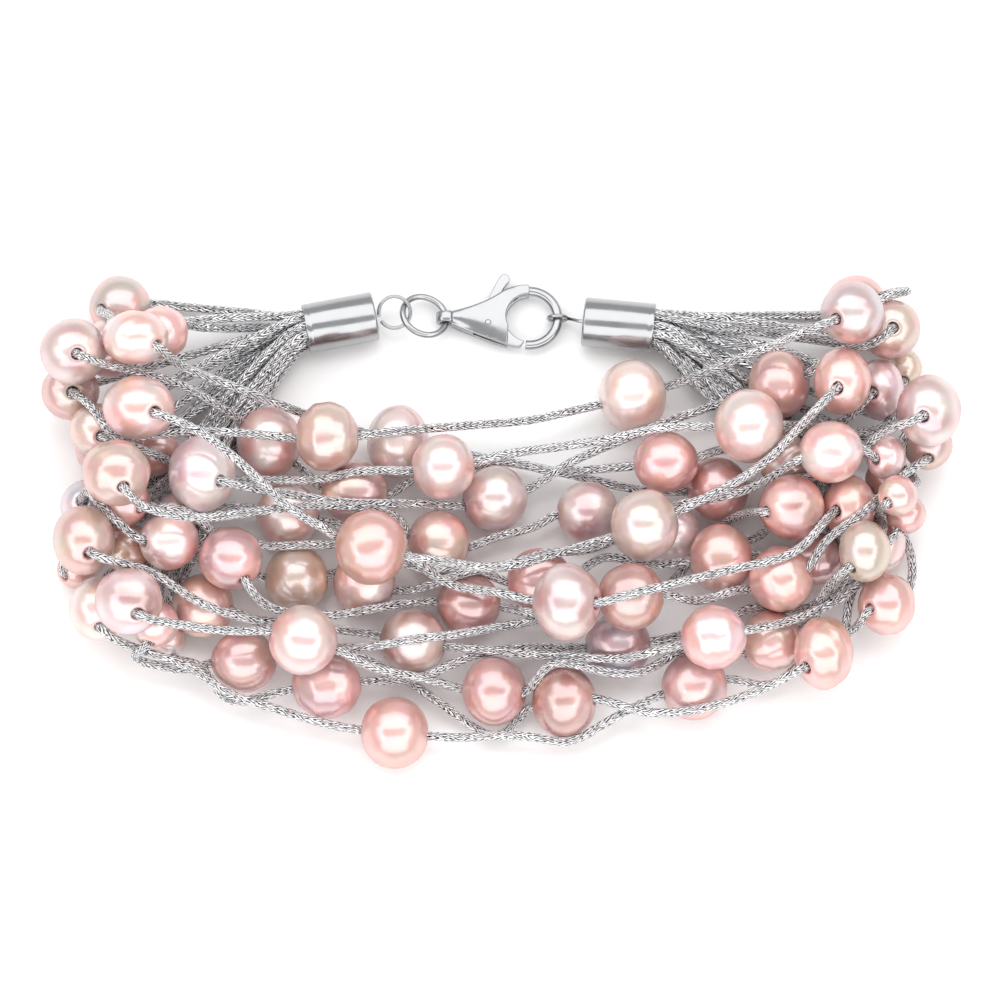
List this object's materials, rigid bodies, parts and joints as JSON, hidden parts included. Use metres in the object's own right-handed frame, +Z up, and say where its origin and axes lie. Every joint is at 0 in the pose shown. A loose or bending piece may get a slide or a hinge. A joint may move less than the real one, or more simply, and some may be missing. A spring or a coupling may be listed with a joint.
{
  "type": "multi-strand pearl bracelet",
  "caption": "Multi-strand bracelet of baroque freshwater pearls on fine braided metallic cords, gathered into two round end caps and closed by a lobster clasp, lying on its side.",
  "frame": {"origin": "middle of the bounding box in X and Y, on the surface the bracelet lies on", "axes": "+X to the right along the clasp run, +Y from the front strands towards the clasp, +Z up"},
  "size_m": [0.0916, 0.052, 0.0177],
  "materials": {
    "pearl": "satin nacre, white to peach and rose",
    "strand": "silver-grey metallic braid, with nacre pearls on it",
    "silver": "polished rhodium-plated silver",
    "resin": "cast, hidden"
  },
  "bodies": {
    "bracelet": {"left_end_cap": "silver", "left_eye_pin": "silver", "left_resin_plug": "resin", "pearl_01_1": "pearl", "pearl_01_2": "pearl", "pearl_02_1": "pearl", "pearl_02_2": "pearl", "pearl_03_1": "pearl", "pearl_03_2": "pearl", "pearl_04_1": "pearl", "pearl_04_2": "pearl", "pearl_05_1": "pearl", "pearl_06_1": "pearl", "pearl_06_2": "pearl", "pearl_07_1": "pearl", "pearl_07_2": "pearl", "pearl_08_1": "pearl", "pearl_09_1": "pearl", "pearl_09_2": "pearl", "pearl_10_1": "pearl", "pearl_10_2": "pearl", "pearl_10_3": "pearl", "pearl_11_1": "pearl", "pearl_11_2": "pearl", "pearl_12_1": "pearl", "pearl_13_1": "pearl", "pearl_13_2": "pearl", "pearl_14_1": "pearl", "pearl_14_2": "pearl", "pearl_15_1": "pearl", "pearl_15_2": "pearl", "pearl_16_1": "pearl", "right_end_cap": "silver", "right_eye_pin": "silver", "right_resin_plug": "resin", "strand_01": "strand", "strand_02": "strand", "strand_03": "strand", "strand_04": "strand", "strand_05": "strand", "strand_06": "strand", "strand_07": "strand", "strand_08": "strand", "strand_09": "strand", "strand_10": "strand", "strand_11": "strand", "strand_12": "strand", "strand_13": "strand", "strand_14": "strand", "strand_15": "strand", "strand_16": "strand", "strand_17": "strand"},
    "ring": {"jump_ring": "silver"},
    "clasp": {"clasp_body": "silver", "clasp_rivet": "silver"},
    "lever": {"clasp_lever": "silver"}
  },
  "joints": [
    {"name": "jump_ring_swing", "type": "hinge", "parent": "bracelet", "child": "ring", "pos_m": [-0.0098, 0.02141, 0.00262], "axis": [0.9519, -0.0194, -0.3058], "range_deg": [-10, 5]},
    {"name": "clasp_roll", "type": "hinge", "parent": "bracelet", "child": "clasp", "pos_m": [-0.00538, 0.02132, 0.0012], "axis": [1, 0, 0], "range_deg": [-5, 5]},
    {"name": "clasp_lever_pivot", "type": "hinge", "parent": "clasp", "child": "lever", "pos_m": [-0.00113, 0.02056, 0.0012], "axis": [0, 0, 1], "range_deg": [0, 20], "stiffness_Nm_per_rad": 0.002, "springref_deg": -20.05}
  ]
}
